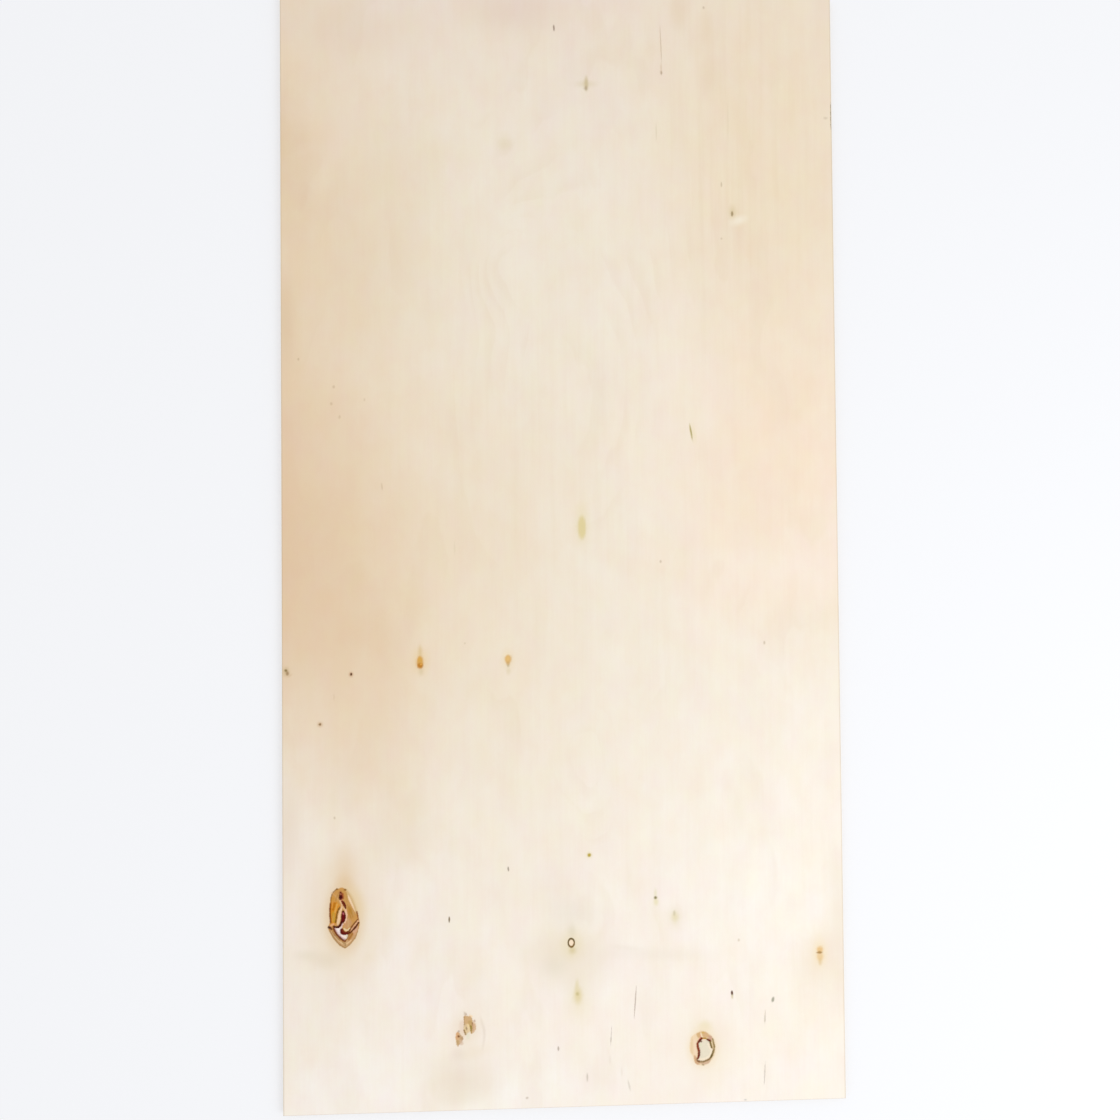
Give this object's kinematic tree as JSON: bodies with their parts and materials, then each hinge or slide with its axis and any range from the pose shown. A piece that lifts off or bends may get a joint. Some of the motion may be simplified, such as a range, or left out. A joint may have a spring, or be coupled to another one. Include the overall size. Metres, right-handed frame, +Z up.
{
  "type": "plywood sheet",
  "caption": "Thin rectangular birch plywood sheet with a knotty rotary-cut face veneer, used flat as panel or lining stock.",
  "frame": {"origin": "middle of the underside, on the surface that the sheet lies on", "axes": "+X across the sheet, +Y along its length and the grain of its face, +Z up out of the face"},
  "size_m": [0.61, 1.22, 0.0065],
  "materials": {
    "birch_veneer": "sanded, unfinished birch veneer with knots"
  },
  "bodies": {
    "root": {"plywood_sheet": "birch_veneer"}
  },
  "joints": []
}
